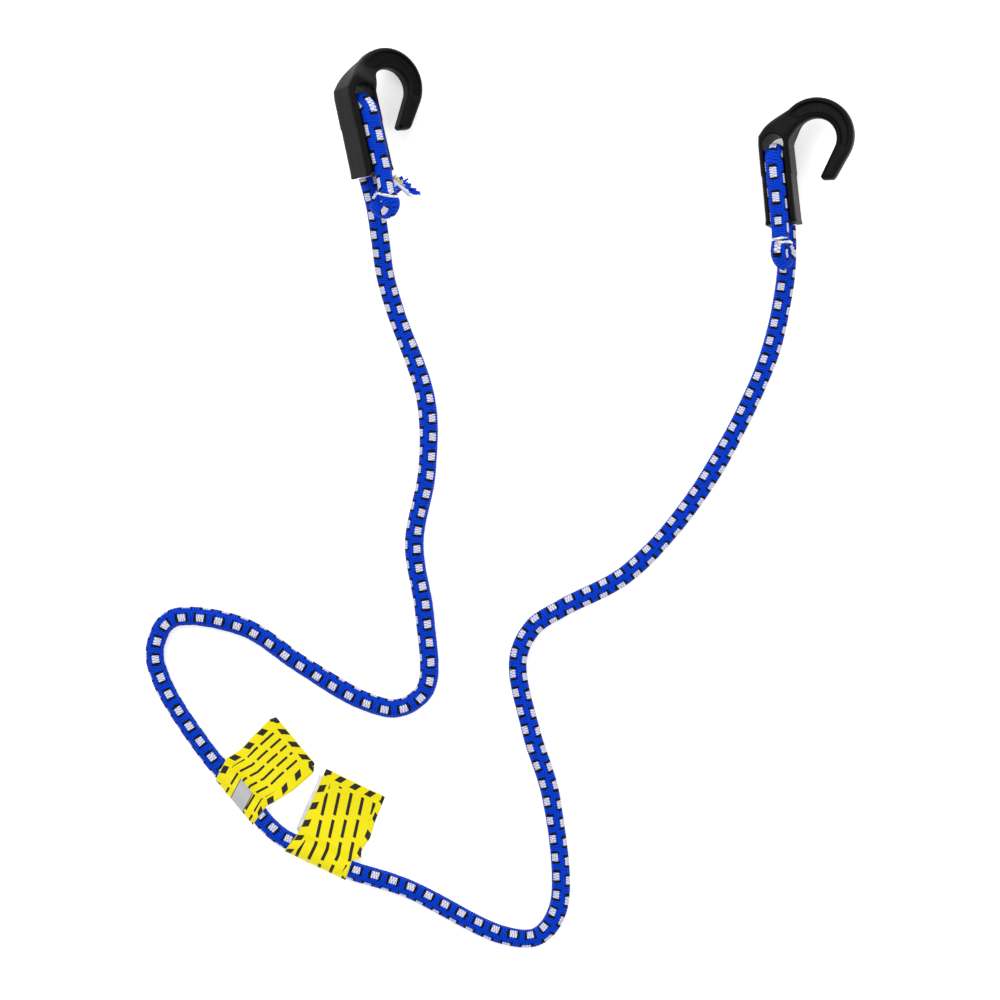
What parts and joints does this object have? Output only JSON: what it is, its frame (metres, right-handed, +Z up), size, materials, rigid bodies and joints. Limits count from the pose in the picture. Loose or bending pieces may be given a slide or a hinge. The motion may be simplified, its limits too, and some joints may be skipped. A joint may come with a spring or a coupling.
{
  "type": "adjustable elastic tie-down strap",
  "caption": "Braided elastic cord with a moulded open hook at each end; each tail wraps over a web, lies in a groove and is clinched with a wire ring.",
  "frame": {"origin": "On the table, below the middle of the box round the two hooks: x and y are the middle of that box, z = 0 is the table that the hooks and the cord lie on.", "axes": "+X runs from the left hook to the right hook along the longest side of that box, +Y points from the cord towards the hooks, +Z is up off the table."},
  "size_m": [0.306, 0.3881, 0.0372],
  "materials": {
    "hook_plastic": "black moulded nylon, satin",
    "braid": "royal blue braid with white flecks edged in black",
    "rubber_core": "natural rubber strands, cream",
    "ring_wire": "plain galvanised steel wire",
    "label_film": "yellow laminated film with black bars"
  },
  "bodies": {
    "cord": {"cord_sheath": "braid", "cord_core": "rubber_core", "stretch_sheath": "braid", "stretch_core": "rubber_core"},
    "left_end": {"left_end_sheath": "braid", "left_end_core": "rubber_core"},
    "left_hook": {"left_hook": "hook_plastic", "left_bore_sheath": "braid", "left_bore_core": "rubber_core", "left_bend_sheath": "braid", "left_bend_core": "rubber_core"},
    "left_tail": {"left_tail_sheath": "braid", "left_tail_core": "rubber_core", "left_ring": "ring_wire"},
    "right_hook": {"right_hook": "hook_plastic", "right_bore_sheath": "braid", "right_bore_core": "rubber_core", "right_bend_sheath": "braid", "right_bend_core": "rubber_core"},
    "right_tail": {"right_tail_sheath": "braid", "right_tail_core": "rubber_core", "right_ring": "ring_wire"},
    "label_1": {"label_1": "label_film"},
    "label_2": {"label_2": "label_film"}
  },
  "joints": [
    {"name": "left_stretch", "type": "slide", "parent": "cord", "child": "left_end", "axis": [-0.2, 0.9798, 0], "range_m": [0, 0.1], "stiffness_N_per_m": 130, "deforming": ["stretch_sheath", "stretch_core"]},
    {"name": "left_swivel", "type": "hinge", "parent": "left_end", "child": "left_hook", "pos_m": [-0.0972, -0.0183, 0.01715], "axis": [0.2129, -0.9765, -0.0349], "range_deg": [-60, 60]},
    {"name": "left_tail_release", "type": "hinge", "parent": "left_hook", "child": "left_tail", "pos_m": [-0.09892, 0.00628, 0.02374], "axis": [-0.8265, -0.199, 0.5266], "range_deg": [0, 90], "deforming": ["left_bend_sheath", "left_bend_core"]},
    {"name": "right_swivel", "type": "hinge", "parent": "cord", "child": "right_hook", "pos_m": [0.0835, -0.0388, 0.0086], "axis": [0.094, -0.9942, 0.0523], "range_deg": [-60, 60]},
    {"name": "right_tail_release", "type": "hinge", "parent": "right_hook", "child": "right_tail", "pos_m": [0.07928, -0.01418, 0.01379], "axis": [-0.9547, -0.1049, -0.2786], "range_deg": [0, 90], "deforming": ["right_bend_sheath", "right_bend_core"]},
    {"name": "label_1_turn", "type": "hinge", "parent": "cord", "child": "label_1", "pos_m": [-0.15125, -0.286, 0.00445], "axis": [0.6402, -0.7682, 0], "range_deg": [0, 165]},
    {"name": "label_2_turn", "type": "hinge", "parent": "cord", "child": "label_2", "pos_m": [-0.1193, -0.311, 0.00445], "axis": [0.9029, -0.4299, 0], "range_deg": [0, 165]}
  ]
}
